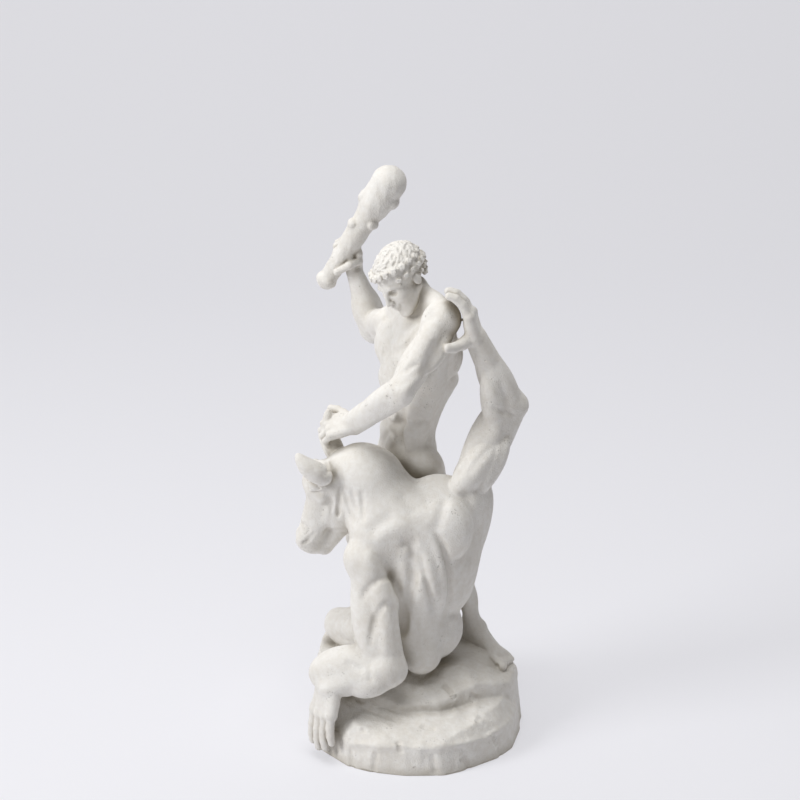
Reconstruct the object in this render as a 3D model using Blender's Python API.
"""Theseus and the Minotaur: a plaster statuette group on its rock, one solid.

Every mass of the bodies is a rod, a lump (ellipsoid) or a stone (planes).
Masses of one body melt into each other; the skin round them all is worked
out from voxels, settled on the masses and thinned to a faceted solid.
"""
import math
import bpy
import bmesh
import numpy as np
from mathutils import Vector

# Sizes of the group, in metres
GROUP_HEIGHT = 0.5216
ROCK_WIDTH = 0.194
ROCK_DEPTH = 0.222
ROCK_RIM = 0.031
ROCK_TOP = 0.072
HEAD_HEIGHT = 0.061
BULL_HEAD_LENGTH = 0.098
CLUB_GRIP_RADIUS = 0.0082
CLUB_HEAD_RADIUS = 0.017

# How the skin is made
VOXEL = 0.0021
TRIANGLES = 9600
MODEL = GROUP_HEIGHT / 521.6
PLASTER_COLOUR = (0.80, 0.79, 0.76, 1.0)

V = Vector

for old in list(bpy.data.objects):
    bpy.data.objects.remove(old)


class Clay:
    """Masses of one body that melt into each other, each with its mesh and its distance."""

    def __init__(self, melt, soft=1.0):
        self.melt = melt
        self.soft = soft
        self.masses = []

    def rod(self, a, b, ra, rb, belly=0.0, wide=1.0, across=None, melt=None, cut=False):
        a, b = V(a), V(b)
        u = (b - a)
        length = max(u.length, 1e-6)
        u = u / length
        side = V(across) if across is not None else V((0.31, 0.77, 0.55))
        side = side - u * side.dot(u)
        if side.length < 1e-6:
            side = u.orthogonal()
        side.normalize()
        third = u.cross(side)
        self.masses.append(dict(kind="rod", a=np.array(a), u=np.array(u), s=np.array(side),
                                t=np.array(third),
                                length=length, ra=ra, rb=rb, belly=belly, wide=wide,
                                melt=(self.melt if melt is None else melt) * self.soft, cut=cut,
                                centre=np.array((a + b) / 2),
                                reach=length / 2 + max(1.0, wide) * (max(ra, rb) + abs(belly))))

    def lump(self, centre, radii, along=(0, 0, 1), face=(0, -1, 0), melt=None, cut=False):
        """An ellipsoid: radii are (across, along face, along the main axis)."""
        w = V(along).normalized()
        f = V(face) - w * V(face).dot(w)
        if f.length < 1e-6:
            f = w.orthogonal()
        f.normalize()
        s = f.cross(w)
        self.masses.append(dict(kind="lump", c=np.array(V(centre)), axes=np.array([s, f, w]),
                                radii=np.array(radii, float), melt=(self.melt if melt is None else melt) * self.soft, cut=cut,
                                centre=np.array(V(centre)), reach=max(radii)))

    def muscle(self, a, b, thick, wide=1.0, face=(0, -1, 0), over=0.12, melt=None):
        """A spindle from a to b: thick towards face, wide times that across."""
        a, b = V(a), V(b)
        half = (b - a).length / 2
        self.lump((a + b) / 2, (thick * wide, thick, half * (1 + over)), along=b - a, face=face,
                  melt=melt)

    def stone(self, planes, size, melt=1.5):
        """A block bounded by planes (point, outward normal)."""
        points = np.array([p for p, _ in planes], float)
        normals = np.array([V(n).normalized() for _, n in planes], float)
        centre = points.mean(0)
        self.masses.append(dict(kind="stone", p=points, n=normals, size=size, melt=self.melt, cut=False,
                                soft=melt, centre=centre, reach=size))


def smooth_min(a, b, k):
    if k <= 0:
        return np.minimum(a, b)
    h = np.maximum(k - np.abs(a - b), 0) / k
    return np.minimum(a, b) - h * h * k * 0.25


def distance_to(m, p):
    if m["kind"] == "rod":
        q = p - m["a"]
        along = q @ m["u"]
        t = np.clip(along / m["length"], 0, 1)
        r = m["ra"] + (m["rb"] - m["ra"]) * t + m["belly"] * np.sin(np.pi * t)
        over = along - t * m["length"]
        x = q @ m["s"] / m["wide"]
        y = q @ m["t"]
        return np.sqrt(x * x + y * y + over * over) - r
    if m["kind"] == "lump":
        q = (p - m["c"]) @ m["axes"].T / m["radii"]
        k0 = np.sqrt((q * q).sum(1)) + 1e-9
        q2 = q / m["radii"]
        k1 = np.sqrt((q2 * q2).sum(1)) + 1e-9
        return k0 * (k0 - 1) / k1
    d = np.full(len(p), -1e3)
    for point, normal in zip(m["p"], m["n"]):
        d = -smooth_min(-d, -((p - point) @ normal), m["soft"])
    return d


def shape_of(m, fine):
    bm = bmesh.new()
    if m["kind"] == "stone":
        bmesh.ops.create_cube(bm, size=2 * m["size"])
        bmesh.ops.translate(bm, vec=V(m["centre"]), verts=bm.verts)
        for point, normal in zip(m["p"], m["n"]):
            cut = bmesh.ops.bisect_plane(bm, geom=bm.verts[:] + bm.edges[:] + bm.faces[:],
                                         plane_co=V(point),
                                         plane_no=V(normal), clear_outer=True)
            edges = [e for e in cut["geom_cut"] if isinstance(e, bmesh.types.BMEdge)]
            bmesh.ops.holes_fill(bm, edges=edges)
        return bm
    reach = m["reach"]
    steps = 2 if reach < 6 * fine else 3 if reach < 30 * fine else 4
    bmesh.ops.create_icosphere(bm, subdivisions=steps, radius=1)
    for v in bm.verts:
        n = np.array(v.co)
        if m["kind"] == "lump":
            v.co = V(m["c"] + (n * m["radii"]) @ m["axes"])
        else:
            lift = n[2]
            t = 0.0 if lift < -0.35 else 1.0 if lift > 0.35 else (lift + 0.35) / 0.7
            r = m["ra"] + (m["rb"] - m["ra"]) * t + m["belly"] * math.sin(math.pi * t)
            ring = math.hypot(n[0], n[1])
            if 0 < t < 1:
                cap, spread = 0.0, 1.0 / max(ring, 1e-6)
            else:
                edge = (abs(lift) - 0.35) / 0.65
                cap = math.copysign(math.sin(edge * math.pi / 2), lift)
                spread = math.cos(edge * math.pi / 2) / max(ring, 1e-6)
            v.co = V(m["a"] + m["u"] * (t * m["length"] + cap * r)
                     + m["s"] * n[0] * spread * r * m["wide"] + m["t"] * n[1] * spread * r)
    return bm


def field(clays, p, near, group_melt):
    total = np.full(len(p), 1e3)
    for clay, lists in zip(clays, near):
        d = np.full(len(p), 1e3)
        for m, i in zip(clay.masses, lists):
            if len(i) == 0:
                continue
            x = distance_to(m, p[i])
            if m["cut"]:
                d[i] = -smooth_min(-d[i], x, m["melt"])
            else:
                d[i] = smooth_min(d[i], x, m["melt"])
        total = smooth_min(total, d, group_melt)
    return total


def carving(strokes):
    """Grooves (depth over 0) and ridges (under 0) drawn along lines near the skin."""
    lines = [(np.array(points, float), width, depth) for width, depth, points in strokes]

    def extra(p):
        total = np.zeros(len(p))
        for points, width, depth in lines:
            low, high = points.min(0) - 2.5 * width, points.max(0) + 2.5 * width
            near = np.nonzero(np.all((p > low) & (p < high), axis=1))[0]
            if len(near) == 0:
                continue
            q = p[near]
            best, place = np.full(len(q), 1e9), np.zeros(len(q))
            spans = len(points) - 1
            for k in range(spans):
                a, ab = points[k], points[k + 1] - points[k]
                t = np.clip(((q - a) @ ab) / (ab @ ab), 0, 1)
                away = q - a - t[:, None] * ab
                far = (away * away).sum(1)
                place = np.where(far < best, (k + t) / spans, place)
                best = np.minimum(best, far)
            fade = np.clip(np.minimum(place, 1 - place) * 5.0, 0, 1)
            total[near] += depth * fade * np.exp(-best / (width * width))
        return total
    return extra


def neighbours(clays, p, margin):
    near = []
    for clay in clays:
        lists = []
        for m in clay.masses:
            q = p - m["centre"]
            lists.append(np.nonzero((q * q).sum(1) < (m["reach"] + margin + m["melt"]) ** 2)[0])
        near.append(lists)
    return near


def settle(clays, p, group_melt, steps, most, eps=0.15, margin=6.0, extra=None):
    """Moves points onto the surface where the melted masses end."""
    near = neighbours(clays, p, margin)
    home = p.copy()
    corners = np.array([(1, -1, -1), (-1, -1, 1), (-1, 1, -1), (1, 1, 1)], float)
    for _ in range(steps):
        grad = np.zeros_like(p)
        value = np.zeros(len(p))
        for c in corners:
            f = field(clays, p + c * eps, near, group_melt)
            if extra is not None:
                f = f + extra(p + c * eps)
            value += f / 4
            grad += f[:, None] * c / (4 * eps)
        size = (grad * grad).sum(1)
        size = np.maximum(size, 0.25)
        move = -np.clip(value, -1.5, 1.5)[:, None] * grad / size[:, None]
        p = p + move
        away = p - home
        far = np.sqrt((away * away).sum(1)) + 1e-9
        p = home + away * np.minimum(1, most / far)[:, None]
    return p


def settle_all(clays, p, extra):
    """Settles a blocked-in skin, with further steps where it lies deep under the melted surface."""
    start = p
    p = settle(clays, p, 1.0, 4, 6.0, extra=extra)
    away = p - start
    deep = np.nonzero((away * away).sum(1) > 20.0)[0]
    if len(deep):
        p[deep] = settle(clays, p[deep], 1.0, 6, 9.0, extra=extra)
    return p


def block_in(clays, fine, name):
    """One closed skin round all masses, from voxels of that size."""
    whole = bmesh.new()
    for clay in clays:
        for m in clay.masses:
            if m["cut"]:
                continue
            bm = shape_of(m, fine)
            piece = bpy.data.meshes.new("piece")
            bm.to_mesh(piece)
            bm.free()
            whole.from_mesh(piece)
            bpy.data.meshes.remove(piece)
    mesh = bpy.data.meshes.new(name)
    whole.to_mesh(mesh)
    whole.free()
    obj = bpy.data.objects.new(name, mesh)
    bpy.context.scene.collection.objects.link(obj)
    remesh = obj.modifiers.new("Skin", "REMESH")
    remesh.mode = "VOXEL"
    remesh.voxel_size = fine
    apply_modifiers(obj)
    return obj


def apply_modifiers(obj):
    graph = bpy.context.evaluated_depsgraph_get()
    made = bpy.data.meshes.new_from_object(obj.evaluated_get(graph))
    obj.modifiers.clear()
    old = obj.data
    obj.data = made
    bpy.data.meshes.remove(old)


def points_of(obj):
    co = np.empty(len(obj.data.vertices) * 3, np.float32)
    obj.data.vertices.foreach_get("co", co)
    return co.reshape(-1, 3).astype(float)


def put_points(obj, p):
    obj.data.vertices.foreach_set("co", p.astype(np.float32).ravel())
    obj.data.update()


def relax(obj, p, rounds, share):
    """Evens a skin out, keeping its volume nearly."""
    count = len(obj.data.edges) * 2
    edges = np.empty(count, np.int32)
    obj.data.edges.foreach_get("vertices", edges)
    edges = edges.reshape(-1, 2)
    n = len(p)
    degree = np.bincount(edges.ravel(), minlength=n).astype(float)[:, None]
    for step in range(rounds):
        for factor in (share, -share * 1.02):
            total = np.zeros_like(p)
            for axis in range(3):
                total[:, axis] = (np.bincount(edges[:, 0], weights=p[edges[:, 1], axis], minlength=n)
                                  + np.bincount(edges[:, 1], weights=p[edges[:, 0], axis], minlength=n))
            p = p + factor * (total / degree - p)
    return p


def frame_of(a, b, front, out=None):
    a, b = V(a), V(b)
    length = (b - a).length
    u = (b - a) / length
    f = V(front) - u * V(front).dot(u)
    f.normalize()
    s = u.cross(f)
    if out is not None and s.dot(V(out)) < 0:
        s = -s

    def at(t, fo=0.0, so=0.0):
        return a + u * (length * t) + f * fo + s * so
    return at, u, f, s


def arm(c, S, E, W, F, U, out, thumb, palm, b=1.0, front=None, fore=1.0):
    S, E, W, F, U, out = map(V, (S, E, W, F, U, out))
    thumb, palm = V(thumb), V(palm)
    bend = (W - E).normalized()
    along = (E - S).normalized()
    f = bend - along * bend.dot(along)
    if front is not None:
        f = V(front)
    at, u, f, s = frame_of(S, E, f, out)
    c.rod(at(0), at(1), 9.5 * b, 8 * b)
    c.muscle(at(.20, 5.5 * b), at(.97, 5.0 * b), 7.8 * b, wide=1.15, face=f)
    c.muscle(at(.5, 1 * b, 5.5 * b), at(1.03, 2 * b, 5 * b), 5.4 * b, face=s)
    c.muscle(at(.02, -4 * b, -4 * b), at(.74, -6 * b, -3.6 * b), 7.6 * b, face=-f, melt=1.2)
    c.muscle(at(.12, -4 * b, 5 * b), at(.68, -6 * b, 4.2 * b), 7.0 * b, face=-f, melt=1.2)
    c.muscle(at(.50, -4 * b, -4 * b), at(.95, -4.4 * b, -4 * b), 5.4 * b, face=-f)
    c.rod(at(.66, -8.2 * b), at(1.0, -7.5 * b), 3.2 * b, 3.6 * b, wide=1.5, across=s, melt=2.0)
    c.lump(at(1.03, -6.3 * b), (4.8 * b, 4.6 * b, 5.2 * b), along=u, face=f)
    insert = at(.56, 0, 7.2 * b)
    c.lump(S, (11.5 * b, 11 * b, 12 * b), along=U, face=F)
    c.muscle(S + F * 8 * b + U * 6 * b - out * 4 * b, insert, 7.4 * b, wide=1.1, face=F, melt=1.4)
    c.muscle(S + U * 9 * b, insert, 7.8 * b, wide=1.1, face=out, melt=1.4)
    c.muscle(S - F * 8 * b + U * 5 * b - out * 4 * b, insert, 7.4 * b, wide=1.1, face=-F, melt=1.4)
    at2, u2, p2, t2 = frame_of(E, W, palm, thumb)
    c.rod(E, W, 8.8 * b * fore, 5.8 * b, belly=0.6 * b)
    c.muscle(at(.72, 1.5 * b, 5.5 * b), at2(.60, 0, 4.5 * b), 6.0 * b * fore, wide=1.1, face=t2, melt=1.4)
    c.muscle(at2(-.05, 3.5 * b, -3 * b), at2(.68, 2.6 * b, -1.5 * b), 7.0 * b * fore, wide=1.15,
             face=p2, melt=1.4)
    c.muscle(at2(-.02, -3.5 * b, 2.5 * b), at2(.68, -2.8 * b, 1 * b), 6.2 * b * fore, wide=1.1,
             face=-p2, melt=1.4)
    c.rod(at2(0, -3 * b, -5 * b), at2(.98, -.5 * b, -4.2 * b), 4.4 * b, 3.8 * b)
    c.rod(at2(.72), at2(1.02), 5.0 * b, 5.0 * b, wide=1.32, across=t2)


def hand(c, W, d, palm, thumb, b=1.0, curls=((12, 18, 12),) * 4, spread=4.0, thumb_dir=None,
         thumb_curl=(10, 15),
         melt=0.9, fat=1.0):
    keep, c.soft = c.soft, 1.0
    W, d = V(W), V(d).normalized()
    pn = V(palm) - d * V(palm).dot(d)
    pn.normalize()
    th = d.cross(pn)
    if th.dot(V(thumb)) < 0:
        th = -th
    for i in range(4):
        k = (1.5 - i)
        reach = (23.5, 24.5, 23.5, 21.5)[i] * b
        base = W + th * (k * 3.4 * b * fat) + d * 1.5 * b
        fan = (d + th * math.tan(math.radians(spread * k))).normalized()
        knuckle = W + fan * reach + th * (k * 4.6 * b * fat)
        c.rod(base, knuckle, 4.6 * b * fat, 3.7 * b * fat, melt=2.2)
        c.lump(knuckle - pn * .8 * b, (3.6 * b * fat,) * 3, melt=1.2)
        here, turn = knuckle, 0.0
        size = (.94, 1.0, .95, .80)[i] * b
        radius = (3.15, 3.2, 3.05, 2.75)[i] * b * fat
        for j, (long, angle) in enumerate(zip((13.5, 9.0, 7.0), curls[i])):
            turn += math.radians(angle)
            way = fan * math.cos(turn) + pn * math.sin(turn)
            there = here + way * long * size
            c.rod(here, there, radius, radius * .9, melt=melt)
            here, radius = there, radius * .93
    c.lump(W + d * 12 * b + pn * 1.2 * b, (10 * b * fat, 4.6 * b * fat, 12 * b), along=d, face=pn)
    td = V(thumb_dir).normalized() if thumb_dir is not None else (d * .62 + th * .62 + pn * .35).normalized()
    base = W + th * 4.5 * b + d * 2.5 * b + pn * 1.5 * b
    first = base + td * 13.5 * b
    c.rod(base, first, 5.0 * b * fat, 3.9 * b * fat, melt=2.0)
    c.muscle(W + th * 2.5 * b + pn * 2.5 * b, first, 5.2 * b, face=pn, melt=2.0)
    lean = (d - td * d.dot(td)).normalized()
    here, turn, radius = first, 0.0, 3.7 * b * fat
    for long, angle in zip((9.5, 8.0), thumb_curl):
        turn += math.radians(angle)
        way = td * math.cos(turn) + lean * math.sin(turn)
        there = here + way * long * b
        c.rod(here, there, radius, radius * .88, melt=1.2)
        here, radius = there, radius * .93
    c.soft = keep


def leg(c, H, K, A, front, out, b=1.0):
    at, u, f, s = frame_of(H, K, front, out)
    c.rod(at(0), at(1), 19.5 * b, 12 * b)
    c.muscle(at(.06, 8.5 * b), at(.93, 6.5 * b), 10.5 * b, wide=1.05, face=f, melt=1.6)
    c.muscle(at(.10, 3 * b, 10.5 * b), at(.93, 4 * b, 6 * b), 9.6 * b, wide=1.1, face=s, melt=1.6)
    c.muscle(at(.42, 4 * b, -8.5 * b), at(1.02, 4.5 * b, -6.5 * b), 8.2 * b, wide=1.1, face=-s, melt=1.6)
    c.muscle(at(-.04, -1 * b, -11 * b), at(.72, -1 * b, -5 * b), 11 * b, face=-s, melt=2.4)
    c.muscle(at(.0, -8.5 * b, 5 * b), at(1.04, -7.5 * b, 6 * b), 8.4 * b, face=-f, melt=1.6)
    c.muscle(at(.0, -8.5 * b, -5 * b), at(1.04, -7.5 * b, -5.5 * b), 8.4 * b, face=-f, melt=1.6)
    u2 = (V(A) - V(K)).normalized()
    bend = math.acos(max(-1, min(1, u.dot(u2))))
    f2 = f * math.cos(bend) + u * math.sin(bend)
    at2, u2, f2, s2 = frame_of(K, A, f2, out)
    middle = (f + f2).normalized()
    c.lump(V(K) + middle * 8.2 * b, (6.2 * b, 5 * b, 7.2 * b), along=(u + u2), face=middle, melt=1.4)
    c.rod(K, at2(.2), 11.2 * b, 9.5 * b)
    c.rod(at2(.1), A, 9.6 * b, 6.2 * b)
    c.rod(V(K) + middle * 9.5 * b, at2(.16, 7.4 * b), 3.0 * b, 3.0 * b, wide=1.4, across=s2, melt=1.4)
    c.muscle(at2(-.04, -5.5 * b, -5 * b), at2(.52, -6 * b, -4 * b), 8.2 * b, face=-f2, melt=1.4)
    c.muscle(at2(-.04, -5.5 * b, 5 * b), at2(.48, -6 * b, 4 * b), 7.6 * b, face=-f2, melt=1.4)
    c.muscle(at2(.25, -3.5 * b), at2(.82, -4.2 * b), 7.2 * b, wide=1.3, face=-f2, melt=1.6)
    c.muscle(at2(.04, 4.5 * b, 4.5 * b), at2(.74, 3.4 * b, 1.6 * b), 5.4 * b, face=f2, melt=1.4)
    c.rod(at2(.08, 6.6 * b, -1.2 * b), at2(.92, 3.4 * b, -.6 * b), 3.4 * b, 3.0 * b, melt=1.6)
    c.lump(at2(1.0, 0, 5.2 * b), (4 * b,) * 3, melt=1.4)
    c.lump(at2(.98, 0, -5.2 * b), (4 * b,) * 3, melt=1.4)


def foot(c, A, K, ahead, up, inner, b=1.0, toe_drop=0.0):
    A, up = V(A), V(up).normalized()
    d = V(ahead) - up * V(ahead).dot(up)
    d.normalize()
    side = up.cross(d)
    if side.dot(V(inner)) < 0:
        side = -side
    heel = A - d * 13 * b - up * 12.5 * b
    ball = A + d * 37 * b - up * 16.5 * b
    c.lump(heel, (8.6 * b, 10 * b, 9 * b), along=up, face=d)
    c.rod(heel, ball, 8.2 * b, 5.4 * b, wide=1.25, across=side)
    c.rod(A - up * 2 * b, ball + up * 1.5 * b, 8.4 * b, 5.2 * b, wide=1.15, across=side, melt=4)
    c.rod(A - d * 6 * b + (V(K) - A).normalized() * 18 * b, heel + up * 4 * b, 3.2 * b, 4.6 * b, melt=3)
    c.lump(ball, (13 * b, 9 * b, 5.6 * b), along=up, face=d, melt=3)
    for i in range(5):
        k = (2 - i)
        size = (1.0, .82, .76, .70, .66)[i]
        root = ball + side * (k * 4.6 * b) + d * (4 - .9 * i) * b
        tip = root + d * (14.5 * size) * b - up * 1.5 * b
        r = (4.3, 3.1, 3.0, 2.9, 2.9)[i] * b
        c.rod(root, (root + tip) / 2 + up * .8 * b, r, r * .92, melt=1.0)
        c.rod((root + tip) / 2 + up * .8 * b, tip, r * .92, r, melt=1.0)


def torso(c, P, C, N, Sl, Sr, Hl, Hr, Fp, Fc, b=1.0, deep=1.0, seat=1.0, waist=1.0, lat=12):
    P, C, N, Sl, Sr, Hl, Hr = map(V, (P, C, N, Sl, Sr, Hl, Hr))
    U = (N - C).normalized()
    F = (V(Fc) - U * V(Fc).dot(U)).normalized()
    R = F.cross(U)
    Up = (C - P).normalized()
    Fq = (V(Fp) - Up * V(Fp).dot(Up)).normalized()
    Rq = Fq.cross(Up)
    long = (N - P).length / 140.0
    c.lump(C - U * 2 * b, (33 * b, 25 * b * deep, 42 * b * long), along=U, face=F)
    c.lump(N - U * 16 * b, (36 * b, 19 * b * deep, 19 * b), along=U, face=F, melt=8)
    c.lump(P, (32 * b, 23 * b, 26 * b), along=Up, face=Fq)
    c.rod(P, C, 25 * b * waist, 26 * b * waist, wide=1.12, across=Rq, melt=8)
    for side, S, H in ((1, Sr, Hr), (-1, Sl, Hl)):
        sternum = C + F * 21 * b * deep + U * 13 * b + R * side * 6 * b
        armpit = S - U * 8 * b + F * 4 * b
        c.muscle(sternum - U * 1 * b, armpit, 8.5 * b, wide=1.9, face=F, over=.2, melt=3)
        c.lump(C + F * 19 * b * deep + U * 8 * b + R * side * 17 * b, (16 * b, 6.5 * b, 12.5 * b),
               along=U, face=F, melt=3)
        # back
        c.muscle(P + Up * lat * b - Fq * 15 * b * waist + Rq * side * 9 * b, S - U * 13 * b - F * 4 * b,
                 7.6 * b, wide=2.1,
                 face=(R * side * .8 - F), over=.2, melt=5)
        c.muscle(N + U * 9 * b - F * 7 * b + R * side * 3 * b, S + U * 6 * b - F * 2 * b, 8.0 * b,
                 wide=1.5, face=-F + U, melt=6)
        c.lump(C - F * 20 * b * deep + U * 16 * b + R * side * 20 * b, (16 * b, 5.6 * b, 18 * b),
               along=U + R * side * .35, face=-F,
               melt=3)
        c.muscle(C - F * 17 * b * deep + U * 0 * b + R * side * 25 * b, S - F * 7 * b - U * 6 * b,
                 7.2 * b, face=-F, melt=1.6)
        c.rod(P - Fq * (4 + 13 * waist) * b * waist + Rq * side * 8 * b + Up * 6 * b,
              C - F * 20 * b * deep + R * side * 8 * b, 7.2 * b * waist, 6 * b, melt=3)
        # flank
        c.muscle(C - U * 16 * b + R * side * 26 * b + F * 4 * b, P + Up * 15 * b + Rq * side * 25 * b
                 + Fq * 2 * b, 8.0 * b * waist,
                 wide=1.9, face=R * side, melt=3)
        c.muscle(P + Up * 13 * b + Rq * side * 27 * b - Fq * 10 * b, P + Up * 6 * b + Rq * side * 24 * b
                 + Fq * 13 * b, 6 * b,
                 face=Rq * side, melt=2.5)
        for k in range(4):
            c.muscle(C + R * side * (29 - 2.6 * k) * b + F * (2 + 2 * k) * b - U * (2 + 8.5 * k) * b,
                     C + R * side * (25 - 3 * k) * b + F * (12 - k) * b - U * (8 + 8.5 * k) * b, 3.2 * b,
                     face=R * side + F, melt=2.0)
        # glute and hip
        c.lump(P - Fq * 13 * b - Up * 11 * b + Rq * side * 15 * b, (16 * b * seat, 15 * b * seat,
                                                                    18 * b * seat), along=Up, face=-Fq, melt=2.5)
        c.lump(H + Up * 4 * b + Rq * side * 5 * b, (14 * b, 16 * b, 17 * b), along=Up, face=Fq, melt=4)
        for k in range(4):
            t = k / 3
            spot = (P + Fq * 22 * b * waist - Up * 2 * b).lerp(C + F * 21 * b * deep - U * 15 * b, t)
            c.lump(spot + R.lerp(Rq, 1 - t) * side * 7.6 * b,
                   (8.4 * b, 3.8 * b, (11, 7.5, 7.2, 7.4)[k] * b), along=Up, face=Fq.lerp(F, t),
                   melt=3.5)
        c.rod(N + F * 9 * b * deep - U * 6 * b + R * side * 3 * b, S + U * 8 * b + F * 4 * b, 2.8 * b,
              3 * b, melt=2)
    c.muscle(C - F * 20 * b * deep + U * 30 * b, C - F * 23 * b * deep - U * 22 * b, 6.5 * b, wide=2.6,
             face=-F, melt=3)
    c.rod(P - Fq * 26 * b + Up * 4 * b, C - F * 30 * b * deep - U * 4 * b, 3 * b, 3.5 * b, melt=3,
          cut=True)
    c.rod(C - F * 30 * b * deep - U * 4 * b, N - F * 24 * b * deep, 3.5 * b, 3 * b, melt=4, cut=True)
    return U, F, R, Up, Fq, Rq


def club(c, end, head, r0, r1):
    end, head = V(end), V(head)
    at, u, f, s = frame_of(end, head, (0, -1, .3))
    length = (head - end).length
    c.rod(at(0), at(.45), r0, r0 * 1.15)
    c.rod(at(.40), at(.80), r0 * 1.15, r1 * .82, melt=6)
    c.rod(at(.74), at(.93), r1 * .86, r1, melt=6)
    c.lump(at(.0), (r0 * 1.25, r0 * 1.25, r0 * .9), along=u, face=f)
    for t, angle, size in ((.66, 2.6, .42), (.52, 5.4, .36), (.40, 2.9, .34), (.24, .3, .30),
                           (.74, 4.75, .40),
                           (.60, .9, .36), (.82, 1.4, .38), (.33, 4.2, .30)):
        r = r0 + (r1 - r0) * min(1, max(0, (t - .2) / .6))
        out = math.cos(angle) * f + math.sin(angle) * s
        c.lump(at(t) + out * r * .88, (r * size, r * size * .8, r * size * .62), along=out, face=u,
               melt=2.2)
        c.lump(at(t) + out * r * (.98 + size * .62), (r * size * .5, r * size * .5, r * size * .28),
               along=out, face=u,
               melt=.8, cut=True)


def rock(c, wide, deep, rim, top):
    """The quarried base: a low chiselled slab and a higher block behind for the seat."""
    def ring(count, w, d, height, lean, turn=0.0, centre=(0, 0)):
        planes = []
        for k in range(count):
            a = 2 * math.pi * (k + turn + .22 * math.sin(2.3 * k)) / count
            x, y = math.cos(a), math.sin(a)
            n = V((x / w, y / d, 0)).normalized()
            planes.append(((centre[0] + x * w / 2, centre[1] + y * d / 2,
                            height * (.5 + .2 * math.sin(4.1 * k))),
                           (n.x, n.y, lean + .06 * math.sin(3.7 * k + 1))))
        planes.append(((0, 0, -6), (0, 0, -1)))
        return planes
    slab = ring(21, wide * 1.02, deep * .95, rim, .08, centre=(0, deep * .018))
    corner = ((wide * .433, deep * .216, top * .5), (.80, .58, .14))
    slab += [corner, ((0, -deep * .46, rim), (0.02, -.22, .97)), ((wide * .36, -deep * .36, rim + 4),
                                                                  (.26, -.20, .94)),
             ((-wide * .36, -deep * .36, rim + 4), (-.24, -.22, .94)), ((0, -deep * .25, rim + 17),
                                                                        (0, -.40, .92)),
             ((0, 0, 64), (0, -.05, 1)), ((wide * .40, -deep * .16, 46), (.30, -.26, .92)),
             ((wide * .47, deep * .05, 56), (.30, .0, .95)), ((-wide * .46, deep * .0, 62),
                                                              (-.30, .0, .95))]
    c.stone(slab, max(wide, deep), melt=3.0)
    block = ring(15, wide * 1.01, deep * .74, top * .7, .05, turn=.4, centre=(wide * .01, deep * .12))
    block += [corner, ((wide * .454, deep * .045, top), (.75, .30, .60)), ((0, 0, top), (.02, .03, 1)),
              ((0, -deep * .15, top - 9), (.0, -.50, .86)),
              ((wide * .44, deep * .0, top - 13), (.36, -.20, .91)), ((-wide * .42, 0, top - 4),
                                                                      (-.30, -.24, .92)),
              ((wide * .1, deep * .46, top - 6), (.1, .5, .85))]
    c.stone(block, max(wide, deep), melt=4.0)
    c.lump((-wide * .24, -deep * .10, 30), (wide * .16, deep * .16, 36), along=(-.1, -.2, 1),
           face=(0, -1, 0), melt=10)


def human_head(c, H, up, face, h=62.0):
    u = V(up).normalized()
    f = V(face) - u * V(face).dot(u)
    f.normalize()
    r = f.cross(u)
    H = V(H)

    def at(x, y, z):
        """Right, forward, up in shares of the head height."""
        return H + r * (x * h) + f * (y * h) + u * (z * h)

    def ball(x, y, z, rx, ry, rz, melt=None, cut=False):
        c.lump(at(x, y, z), (rx * h, ry * h, rz * h), along=u, face=f, melt=melt, cut=cut)
    ball(0, -.05, .13, .315, .40, .34, melt=2)
    ball(0, .14, -.08, .250, .250, .34, melt=3)
    ball(0, .17, -.29, .205, .205, .17, melt=3)
    ball(0, .335, -.415, .10, .075, .075, melt=2.5)
    for s in (1, -1):
        c.rod(at(s * .240, -.02, -.18), at(s * .09, .30, -.40), .055 * h, .05 * h, melt=3)
        ball(s * .165, .275, -.075, .085, .085, .085, melt=3)
        c.rod(at(s * .035, .385, .075), at(s * .135, .370, .092), .030 * h, .030 * h, melt=2.0)
        c.rod(at(s * .135, .370, .092), at(s * .235, .270, .060), .030 * h, .026 * h, melt=2.0)
        ball(s * .120, .430, .015, .080, .070, .040, melt=1.6, cut=True)
        ball(s * .122, .318, .012, .066, .060, .046, melt=.6)
        c.rod(at(s * .060, .372, .010), at(s * .125, .382, .040), .011 * h, .012 * h, melt=.6)
        c.rod(at(s * .125, .382, .040), at(s * .190, .318, .008), .012 * h, .010 * h, melt=.6)
        c.rod(at(s * .060, .370, .000), at(s * .130, .366, -.022), .010 * h, .010 * h, melt=.6)
        c.rod(at(s * .130, .366, -.022), at(s * .190, .314, .002), .010 * h, .009 * h, melt=.6)
        ball(s * .042, .425, -.118, .034, .045, .034, melt=.9)
        ball(s * .32, -.03, -.03, .035, .065, .10, melt=.8)
    c.rod(at(0, .385, .08), at(0, .440, -.020), .030 * h, .034 * h, melt=2.0)
    c.rod(at(0, .435, -.010), at(0, .478, -.105), .030 * h, .040 * h, melt=1.6)
    ball(0, .375, -.20, .10, .05, .055, melt=1.8)
    ball(0, .407, -.207, .072, .030, .022, melt=.8)
    ball(0, .400, -.257, .060, .032, .026, melt=.8)
    c.rod(at(-.072, .420, -.232), at(.072, .420, -.232), .009 * h, .009 * h, melt=.6, cut=True)
    ball(0, .390, -.315, .075, .045, .020, melt=1.4, cut=True)
    # hair: cap, band and curls
    ball(0, -.07, .17, .345, .42, .34, melt=.8)
    return at, u, f, r


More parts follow.
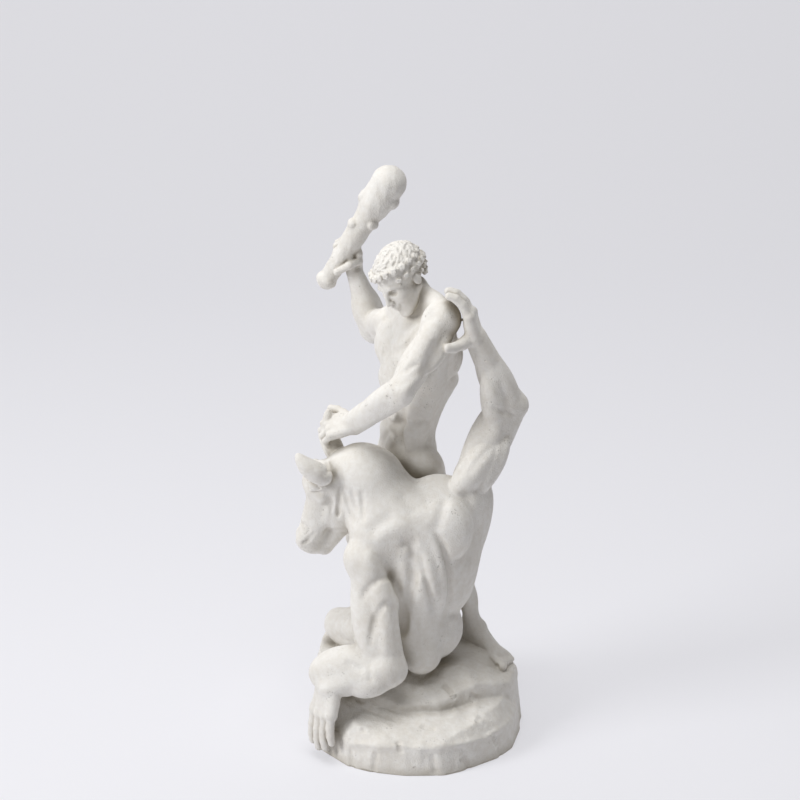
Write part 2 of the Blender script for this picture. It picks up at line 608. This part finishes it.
def hair(c, at, u, f, r, h=62.0):
    """Low wavy locks over the crown, a band, and thick curls below it from brow to nape."""
    def wild(k, row):
        return math.sin(12.9898 * k + 78.233 * row) * 0.5
    for row, (rise, count) in enumerate(((26, 17), (43, 13), (60, 9), (78, 4))):
        level, ring = math.sin(math.radians(rise)), math.cos(math.radians(rise))
        for k in range(count):
            a = 2 * math.pi * (k + .5 * row + .5 * wild(k, row)) / count
            x, y = math.sin(a), math.cos(a)
            out = r * x * ring + f * y * ring + u * level
            across = out.cross(u).normalized()
            spot = at(x * ring * .330, -.07 + y * ring * .405, .17 + level * .322)
            lie = across + out.cross(across) * (.7 * wild(k + 3, row) + .5)
            c.lump(spot, (.042 * h, .026 * h, .085 * h), along=lie, face=out, melt=.9)
            c.lump(spot + lie.normalized() * .05 * h, (.034 * h, .032 * h, .040 * h), along=lie,
                   face=out, melt=.5)
    steps = 40
    ring = []
    for k in range(steps + 1):
        a = 2 * math.pi * k / steps
        ring.append(at(math.sin(a) * .335, -.065 + math.cos(a) * .412, .235 + .055 * math.cos(a)))
    for a, b in zip(ring[:-1], ring[1:]):
        c.rod(a, b, .020 * h, .020 * h, wide=1.9, across=u, melt=.4)
    for row, (drop, size) in enumerate(((.075, .060), (.155, .052), (.235, .048))):
        count = 22
        for k in range(count):
            a = 2 * math.pi * (k + .5 * row + .4 * wild(k, row + 7)) / count
            x, y = math.sin(a), math.cos(a)
            if row == 1 and y > .30 or row == 2 and y > -.35:
                continue
            lift = .235 + .055 * y - drop * (1.0 if y > .3 else 1.15) - (.05 if abs(x) > .75 and y > -.2 else 0)
            out = r * x + f * y
            spot = at(x * (.338 - .04 * row), -.065 + y * (.420 - .05 * row), lift)
            lie = u + out.cross(u) * (1.3 * wild(k, row))
            c.lump(spot, (size * h * 1.05, size * h * .85, size * h * 1.15), along=lie, face=out, melt=.5)
            c.lump(spot + out * size * h * .8, (size * h * .34, size * h * .5, size * h * .34),
                   along=lie, face=out,
                   melt=.4, cut=True)


def bull_head(c, P, M, side, L=98.0):
    P, M = V(P), V(M)
    u = (P - M).normalized()
    r = V(side) - u * V(side).dot(u)
    r.normalize()
    f = u.cross(r)
    if f.x > 0:
        f = -f

    def at(x, y, z):
        return P + r * (x * L) + f * (y * L) + u * (z * L)

    def ball(x, y, z, rx, ry, rz, melt=None, cut=False, along=None):
        c.lump(at(x, y, z), (rx * L, ry * L, rz * L), along=along or u, face=f, melt=melt, cut=cut)
    ball(0, -.05, -.14, .25, .22, .22, melt=6)
    ball(0, .0, -.33, .225, .18, .20, melt=8)
    ball(0, .13, -.33, .200, .205, .20, melt=7)
    c.rod(at(0, .10, -.34), at(0, .03, -.92), .150 * L, .125 * L, wide=1.12, across=r, melt=6)
    c.rod(at(0, -.22, -.42), at(0, -.13, -.92), .150 * L, .095 * L, wide=1.05, across=r, melt=6)
    c.rod(at(0, -.30, -.36), at(0, -.24, -.62), .150 * L, .100 * L, melt=8)
    for s in (1, -1):
        ball(s * .11, -.20, -.42, .130, .22, .23, melt=7)
        ball(s * .175, .215, -.335, .070, .060, .060, melt=2, cut=True)
        ball(s * .145, .200, -.335, .060, .058, .050, melt=.8)
        c.rod(at(s * .105, .300, -.300), at(s * .190, .235, -.275), .026 * L, .028 * L, melt=2)
        c.rod(at(s * .190, .235, -.275), at(s * .215, .140, -.315), .028 * L, .020 * L, melt=2)
        c.rod(at(s * .120, .285, -.335), at(s * .195, .215, -.305), .011 * L, .012 * L, melt=.7)
        c.rod(at(s * .195, .215, -.305), at(s * .205, .135, -.340), .012 * L, .010 * L, melt=.7)
        c.rod(at(s * .120, .275, -.350), at(s * .190, .205, -.370), .011 * L, .012 * L, melt=.7)
        c.rod(at(s * .190, .205, -.370), at(s * .203, .135, -.345), .012 * L, .010 * L, melt=.7)
        c.rod(at(s * .130, .230, -.415), at(s * .200, .130, -.405), .020 * L, .018 * L, melt=3)
        c.rod(at(s * .15, .0, -.50), at(s * .10, .03, -.84), .05 * L, .05 * L, melt=6)
        ball(s * .085, .085, -.94, .070, .075, .080, melt=2.2)
        c.lump(at(s * .145, .105, -.955), (.022 * L, .022 * L, .055 * L), along=f + u * .5, face=r * s,
               melt=1.0, cut=True)
        c.rod(at(s * .150, -.060, -.82), at(s * .15, -.045, -1.04), .012 * L, .014 * L, melt=.8, cut=True)
    ball(0, .0, -.965, .150, .135, .095, melt=4)
    ball(0, -.13, -.965, .105, .075, .065, melt=2.5)
    c.rod(at(-.2, -.065, -1.05), at(.2, -.065, -1.05), .016 * L, .016 * L, melt=.8, cut=True)
    return at, u, f, r


def horn(c, points, radii, melt=1.5):
    for a, b, ra, rb in zip(points[:-1], points[1:], radii[:-1], radii[1:]):
        c.rod(a, b, ra, rb, melt=melt)


def theseus(fine=True):
    c = Clay(3.0, 1.6)
    P, C, N = (-7, 54, 258), (0, 42, 350), (8, 38, 398)
    Sl, Sr = (26, 6, 404), (-24, 78, 380)
    Hl, Hr = (6, 34, 250), (-8, 72, 246)
    U, F, R, Up, Fq, Rq = torso(c, P, C, N, Sl, Sr, Hl, Hr, (-.97, -.24, 0), (-.88, -.46, .05), b=1.14,
                                deep=1.0, waist=.78, lat=34)
    # neck and head
    Hc = V((-12, 27, 437))
    face = V((-.62, -.60, -.50))
    top = V((-.58, -.20, .79))
    c.rod(V(N) - U * 6, Hc + V((11, 7, -12)), 15.5, 13.5, melt=5)
    c.rod(V(N) + F * 9 + R * 3, Hc + V((5, 16, -12)), 4, 4, melt=2)
    c.rod(V(N) + F * 9 - R * 3, Hc + V((16, 2, -12)), 4, 4, melt=2)
    c.muscle(V(Sl) + U * 8, Hc + V((16, 12, -18)), 9, wide=1.3, face=-F, melt=4)
    c.muscle(V(Sr) + U * 8, Hc + V((8, 18, -18)), 9, wide=1.3, face=-F, melt=4)
    head = Clay(2.2)
    at, u, f, r = human_head(head, Hc, top, face, HEAD_HEIGHT / MODEL)
    hair(head, at, u, f, r, HEAD_HEIGHT / MODEL)
    # right arm, raised
    E, W = (-38, 138, 358), (-57, 134, 414)
    arm(c, Sr, E, W, F, U, R, thumb=(0.3, .4, .9), palm=(-.9, -.2, -.1), b=1.25, fore=1.4)
    ce, ch = V((-84, 131, 407)), V((-20, 118, 512))
    cd = (ch - ce).normalized()
    grip = V((-72, 133, 430))
    hand(c, W, (-.1, -.1, 1), palm=(-.75, .35, .2), thumb=(.6, .3, .6), b=.95, fat=1.2,
         curls=((45, 75, 55),) * 4, spread=1, thumb_dir=(.2, -.55, .6), thumb_curl=(25, 30))
    # left arm, pressing the horn down
    E, W = (-13, -31, 348), (-58, 2, 306)
    arm(c, Sl, E, W, F, U, -R, thumb=(-.3, .1, .9), palm=(-.2, .9, -.35), b=1.42)
    hand(c, W, (-.85, .25, -.25), palm=(-.05, .6, -.75), thumb=(.1, .75, .6), b=.95, fat=1.25,
         curls=((35, 55, 35),) * 4, spread=3, thumb_dir=(-.5, .8, .25))
    # legs
    K, A = (-50, 44, 178), (-44, 88, 84)
    leg(c, Hr, K, A, (-.7, -.1, .7), (-.1, 1, 0), b=1.15)
    foot(c, A, K, (-.66, -.75, -.1), (0, 0, 1), (.3, -1, 0), b=1.0)
    K, A = (35, 40, 162), (59, 50, 84)
    leg(c, Hl, K, A, (-.4, -.9, 0), (.9, -.4, 0), b=1.1)
    foot(c, A, K, (.6, -.8, -.14), (.1, 0, 1), (-1, -.4, 0), b=1.0)
    wood = Clay(2.5)
    club(wood, ce, ch, CLUB_GRIP_RADIUS / MODEL, CLUB_HEAD_RADIUS / MODEL)
    return [c, head, wood]


def minotaur(fine=True):
    c = Clay(3.2, 1.7)
    b = 1.5
    P, C, N = (-10, -4, 110), (6, -4, 184), (-2, -2, 228)
    Sl, Sr = (-46, -33, 186), (46, -8, 236)
    Hl, Hr = (-20, -4, 98), (16, 0, 98)
    U, F, R, Up, Fq, Rq = torso(c, P, C, N, Sl, Sr, Hl, Hr, (.10, .99, .0), (.16, .98, .0), b=b,
                                deep=1.0, seat=.80)
    for far, near, thick in (((64, -4, 244), (32, 0, 146), 17), ((50, -10, 200), (34, -6, 126), 14)):
        c.muscle(far, near, thick, wide=1.2, face=(.8, -.6, 0), melt=4)
    c.rod((-10, -14, 226), (-34, -26, 190), 24, 19, melt=5)
    c.rod((0, -14, 222), (42, -14, 226), 22, 17, melt=5)
    # neck
    poll, mouth = (-60, 0, 275), (-96, 4, 190)
    c.rod((-16, -8, 214), (-38, -2, 254), 28, 27, wide=1.05, melt=8)
    c.rod((-36, -22, 212), (30, -24, 223), 20, 19, melt=10)
    c.rod((-27, -4, 232), (-52, 0, 261), 26, 25, melt=8)
    c.rod((-30, -2, 214), (-60, 2, 236), 26, 22, melt=8)
    head = Clay(3.0)
    at, u, f, r = bull_head(head, poll, mouth, (.1, -1, .05), BULL_HEAD_LENGTH / MODEL)
    horn(head, ((-80, -21, 261), (-91, -25, 269), (-100, -26, 276), (-107, -25, 285)),
         (9.2, 9.2, 6.6, 1.6), melt=.8)
    horn(head, ((-66, 22, 262), (-78, 36, 270), (-88, 44, 282)), (11, 7, 2), melt=1.5)
    # horn held by the hand, and the near one short
    head.rod((-74, 16, 276), (-80, 15, 292), 8, 6.5, melt=1.5)
    head.rod((-80, 15, 292), (-80, 13, 314), 6.5, 2.2, melt=1.5)
    # raised arm against the hero's shoulder
    E, W = (86, 14, 322), (55, 2, 388)
    arm(c, Sr, E, W, F, U, R, thumb=(-.2, -1, .1), palm=(-.9, 0, -.3), b=1.66, front=(-.7, .1, .7))
    hand(c, W, (-.25, 0, 1), palm=(-.95, .1, -.25), thumb=(-.3, -1, 0), b=1.0, fat=1.45,
         curls=((12, 20, 25),) * 4, spread=2,
         thumb_dir=(-.75, -.6, -.35), thumb_curl=(10, 15))
    # left arm, hanging over the edge of the rock
    E, W = (-27, -58, 86), (-79, -60, 70)
    arm(c, Sl, E, W, F, U, -R, thumb=(0, 1, .2), palm=(0, 0, -1), b=1.72, fore=1.2)
    c.lump((-62, -50, 82), (21, 24, 37), along=(-.98, .1, -.18), face=(0, 0, 1), melt=3)
    hand(c, W, (-.22, -.20, -1), palm=(.8, .55, 0), thumb=(-.55, .8, 0), b=1.12, fat=1.4,
         curls=((4, 10, 10),) * 4, spread=3, thumb_dir=(-.3, .5, -.8))
    K, A = (-70, 38, 90), (-26, 80, 72)
    leg(c, Hl, K, A, (-.3, .2, 1), (-1, -.3, 0), b=1.3)
    foot(c, A, K, (.8, .35, -.1), (0, 0, 1), (1, -.3, 0), b=1.05)
    K, A = (18, 84, 124), (26, 62, 80)
    leg(c, Hr, K, A, (0, .4, .9), (1, 0, 0), b=1.25)
    foot(c, A, K, (.35, 1, -.1), (0, 0, 1), (-1, 0, 0), b=.9)
    return [c, head]


def base():
    c = Clay(2.0)
    rock(c, ROCK_WIDTH / MODEL, ROCK_DEPTH / MODEL, ROCK_RIM / MODEL, ROCK_TOP / MODEL)
    return [c]


def clays():
    return theseus() + minotaur() + base()


FINE_SPOTS = (((-16, 24, 440), 44), ((-72, 128, 432), 24), ((-68, 10, 300), 26), ((44, 0, 412), 34),
              ((-84, 2, 240), 40))


STROKES = (
    (4.0, 3.0, ((10, -44, 230), (22, -45, 210), (29, -44, 194), (34, -43, 175), (33, -41, 156),
                (28, -35, 133),
                (22, -38, 112), (16, -42, 84))),
    (5.0, -2.4, ((2, -45, 216), (15, -48, 196), (22, -46, 176), (23, -42, 150), (16, -42, 120))),
    (3.4, 2.2, ((-6, -43, 204), (5, -48, 190), (11, -48, 165), (13, -43, 140), (8, -44, 114))),
    (5.0, -2.0, ((-10, -46, 200), (-2, -50, 184), (1, -50, 160), (0, -48, 138))),
    (5.0, 1.6, ((-26, -44, 206), (-8, -46, 207), (10, -46, 212))),
    (3.0, 2.2, ((-17, -45, 198), (-16, -44, 171), (-13, -48, 152), (-8, -52, 130))),
    (3.0, 2.2, ((-48, -52, 158), (-36, -60, 171), (-24, -58, 175), (-12, -48, 163))),
    (3.4, 2.6, ((-25, -66, 162), (-34, -68, 144), (-39, -69, 126), (-41, -70, 98))),
    (3.4, 2.0, ((36, -26, 258), (50, -26, 244), (60, -24, 228), (66, -14, 198))),
    (4.6, 1.9, ((31, -28, 250), (25, -44, 226), (27, -42, 210))),
    (4.0, 1.6, ((46, -36, 226), (50, -34, 196), (44, -34, 166), (34, -30, 140))),
    (2.8, 1.4, ((-68, -21, 250), (-69, -19, 234), (-71, -15, 216))),
    (2.8, 1.4, ((-61, -24, 252), (-59, -23, 230), (-56, -26, 212))),
    (2.8, 1.2, ((-49, -32, 257), (-46, -31, 231), (-43, -36, 214))),
)


def plaster():
    made = bpy.data.materials.new("plaster")
    made.use_nodes = True
    shader = made.node_tree.nodes["Principled BSDF"]
    shader.inputs["Base Color"].default_value = PLASTER_COLOUR
    shader.inputs["Roughness"].default_value = 0.85
    shader.inputs["Metallic"].default_value = 0.0
    return made


def flat_underside(obj):
    """Cuts the rock off level at the floor and closes it."""
    bm = bmesh.new()
    bm.from_mesh(obj.data)
    cut = bmesh.ops.bisect_plane(bm, geom=bm.verts[:] + bm.edges[:] + bm.faces[:],
                                 plane_co=(0, 0, 0), plane_no=(0, 0, -1), clear_outer=True)
    edges = [e for e in cut["geom_cut"] if isinstance(e, bmesh.types.BMEdge)]
    bmesh.ops.holes_fill(bm, edges=edges)
    bmesh.ops.triangulate(bm, faces=bm.faces)
    bmesh.ops.recalc_face_normals(bm, faces=bm.faces)
    bm.to_mesh(obj.data)
    bm.free()


def largest_body(obj):
    """Keeps the biggest connected shell."""
    bm = bmesh.new()
    bm.from_mesh(obj.data)
    seen, shells = set(), []
    for start in bm.verts:
        if start in seen:
            continue
        stack, shell = [start], [start]
        seen.add(start)
        while stack:
            for edge in stack.pop().link_edges:
                for v in edge.verts:
                    if v not in seen:
                        seen.add(v)
                        stack.append(v)
                        shell.append(v)
        shells.append(shell)
    shells.sort(key=len)
    for shell in shells[:-1]:
        bmesh.ops.delete(bm, geom=shell, context="VERTS")
    bm.to_mesh(obj.data)
    bm.free()


def group():
    parts = clays()
    obj = block_in(parts, VOXEL / MODEL, "theseus_and_minotaur_group")
    largest_body(obj)
    p = points_of(obj)
    grooves = carving(STROKES)
    p = settle_all(parts, p, grooves)
    p = relax(obj, p, 2, 0.5)
    p = settle(parts, p, 1.0, 1, 1.0, extra=grooves)
    put_points(obj, p * MODEL)
    thin = obj.modifiers.new("Thin", "DECIMATE")
    thin.ratio = TRIANGLES / (2.0 * len(obj.data.polygons))
    apply_modifiers(obj)
    flat_underside(obj)
    obj.data.materials.clear()
    obj.data.materials.append(plaster())
    return obj


group()
